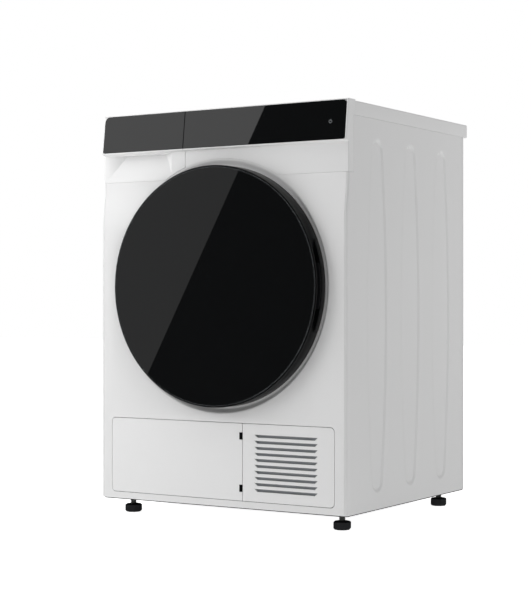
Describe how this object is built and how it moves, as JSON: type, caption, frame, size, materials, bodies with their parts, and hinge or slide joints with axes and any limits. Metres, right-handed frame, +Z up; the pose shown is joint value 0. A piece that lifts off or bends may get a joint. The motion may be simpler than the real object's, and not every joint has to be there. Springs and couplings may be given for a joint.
{
  "type": "clothes dryer",
  "caption": "Freestanding front-loading clothes dryer with a round black glass door, a black glass control band, a pull-out water drawer, a service flap and a louvre grille.",
  "frame": {"origin": "on the floor under the middle of the machine's overall width and depth", "axes": "+Z up, +Y from the door side to the rear, +X to the right when facing the door"},
  "size_m": [0.6, 0.581, 0.85],
  "materials": {
    "white_casing": "semi-gloss white enamel",
    "galvanised_sheet": "zinc-coated sheet, dull",
    "white_plastic": "fine satin white moulding",
    "black_glass": "glossy black, back-painted",
    "smoked_bowl": "glossy smoked bowl",
    "black_plastic": "black, light grain",
    "grey_plastic": "mid-grey, light grain",
    "tank_plastic": "translucent white, unpainted",
    "blue_plastic": "blue touch-point plastic",
    "filter_plastic": "plastic frame with fine mesh",
    "board": "green circuit board in a carrier",
    "coil_fins": "thin bright fins",
    "motor_casting": "die-cast, as cast",
    "black_steel": "black enamelled shell",
    "stainless": "stainless, lightly brushed",
    "machined_steel": "turned steel",
    "pressed_steel": "dark plated steel",
    "rubber": "black rubber"
  },
  "bodies": {
    "cabinet": {"base_tray": "black_plastic", "left_side_panel": "white_casing", "right_side_panel": "white_casing", "front_panel": "white_casing", "rear_panel": "galvanised_sheet", "rear_duct_cover": "galvanised_sheet", "worktop": "white_plastic", "control_fascia": "white_plastic", "control_glass": "black_glass", "control_board": "board", "louvre_grille": "white_plastic", "mains_inlet": "black_plastic", "tank_sleeve": "grey_plastic", "flap_hinge": "black_plastic", "exchanger_housing": "grey_plastic", "exchanger_cover": "grey_plastic", "evaporator_coil": "coil_fins", "condenser_coil": "coil_fins", "compressor": "black_steel", "condensate_pump": "grey_plastic", "front_bulkhead": "grey_plastic", "door_seal": "rubber", "door_catch": "black_plastic", "door_hinge_bracket": "pressed_steel", "drum_bearing": "pressed_steel", "drive_belt": "rubber", "drive_motor": "motor_casting", "fan_housing": "grey_plastic"},
    "door": {"door_hinge_leaf": "pressed_steel", "door_hinge_pin": "machined_steel", "door_glass": "black_glass", "door_ring": "black_plastic", "door_grip": "black_plastic", "door_liner": "grey_plastic", "door_bowl": "smoked_bowl", "door_hook": "machined_steel"},
    "drum": {"drum_shell": "stainless", "drum_back": "stainless", "drum_shaft": "machined_steel", "drum_lifter_1": "grey_plastic", "drum_lifter_2": "grey_plastic", "drum_lifter_3": "grey_plastic"},
    "water_drawer": {"drawer_front": "white_plastic", "drawer_glass": "black_glass", "water_tank": "tank_plastic"},
    "flap": {"service_flap": "white_plastic"},
    "lever_left": {"cover_lever_left": "blue_plastic"},
    "lever_right": {"cover_lever_right": "blue_plastic"},
    "filter": {"lint_filter": "filter_plastic"},
    "roller_left": {"support_roller_left": "rubber"},
    "roller_right": {"support_roller_right": "rubber"},
    "rotor": {"motor_shaft": "machined_steel", "fan_impeller": "black_plastic"},
    "tensioner": {"tensioner_arm": "pressed_steel"},
    "idler": {"idler_pulley": "black_plastic"},
    "foot_front_left": {"foot_front_left": "rubber"},
    "foot_front_right": {"foot_front_right": "rubber"},
    "foot_rear_left": {"foot_rear_left": "rubber"},
    "foot_rear_right": {"foot_rear_right": "rubber"}
  },
  "joints": [
    {"name": "door_swing", "type": "hinge", "parent": "cabinet", "child": "door", "pos_m": [-0.238, -0.278, 0.484], "axis": [0, 0, -1], "range_deg": [0, 150]},
    {"name": "drawer_slide", "type": "slide", "parent": "cabinet", "child": "water_drawer", "axis": [0, -1, 0], "range_m": [0, 0.4]},
    {"name": "flap_swing", "type": "hinge", "parent": "cabinet", "child": "flap", "pos_m": [0.0535, -0.261, 0.128], "axis": [0, 0, 1], "range_deg": [0, 100]},
    {"name": "lever_left_turn", "type": "hinge", "parent": "cabinet", "child": "lever_left", "pos_m": [-0.214, -0.244, 0.135], "axis": [0, 1, 0], "range_deg": [0, 90]},
    {"name": "lever_right_turn", "type": "hinge", "parent": "cabinet", "child": "lever_right", "pos_m": [0.018, -0.244, 0.135], "axis": [0, 1, 0], "range_deg": [-90, 0]},
    {"name": "filter_lift", "type": "slide", "parent": "cabinet", "child": "filter", "axis": [0, 0, 1], "range_m": [0, 0.03]},
    {"name": "drum_spin", "type": "hinge", "parent": "cabinet", "child": "drum", "pos_m": [0, 0.006, 0.48], "axis": [0, 1, 0], "continuous": true},
    {"name": "roller_left_spin", "type": "hinge", "parent": "cabinet", "child": "roller_left", "pos_m": [-0.17442, -0.191, 0.25676], "axis": [0, 1, 0], "continuous": true},
    {"name": "roller_right_spin", "type": "hinge", "parent": "cabinet", "child": "roller_right", "pos_m": [0.17442, -0.191, 0.25676], "axis": [0, 1, 0], "continuous": true},
    {"name": "rotor_spin", "type": "hinge", "parent": "cabinet", "child": "rotor", "pos_m": [0.175, -0.064, 0.118], "axis": [0, 1, 0], "continuous": true},
    {"name": "tensioner_swing", "type": "hinge", "parent": "cabinet", "child": "tensioner", "pos_m": [0.13523, 0.075, 0.07332], "axis": [0, -1, 0], "range_deg": [0, 8]},
    {"name": "idler_spin", "type": "hinge", "parent": "tensioner", "child": "idler", "pos_m": [0.10023, 0.066, 0.12332], "axis": [0, 1, 0], "continuous": true},
    {"name": "foot_front_left_screw", "type": "slide", "parent": "cabinet", "child": "foot_front_left", "axis": [0, 0, -1], "range_m": [0, 0.012]},
    {"name": "foot_front_right_screw", "type": "slide", "parent": "cabinet", "child": "foot_front_right", "axis": [0, 0, -1], "range_m": [0, 0.012]},
    {"name": "foot_rear_left_screw", "type": "slide", "parent": "cabinet", "child": "foot_rear_left", "axis": [0, 0, -1], "range_m": [0, 0.012]},
    {"name": "foot_rear_right_screw", "type": "slide", "parent": "cabinet", "child": "foot_rear_right", "axis": [0, 0, -1], "range_m": [0, 0.012]}
  ],
  "couplings": [
    {"joint": "roller_left_spin", "follows": "drum_spin", "ratio": -14.722},
    {"joint": "roller_right_spin", "follows": "drum_spin", "ratio": -14.722},
    {"joint": "rotor_spin", "follows": "drum_spin", "ratio": 24.091},
    {"joint": "idler_spin", "follows": "drum_spin", "ratio": -22.083}
  ]
}
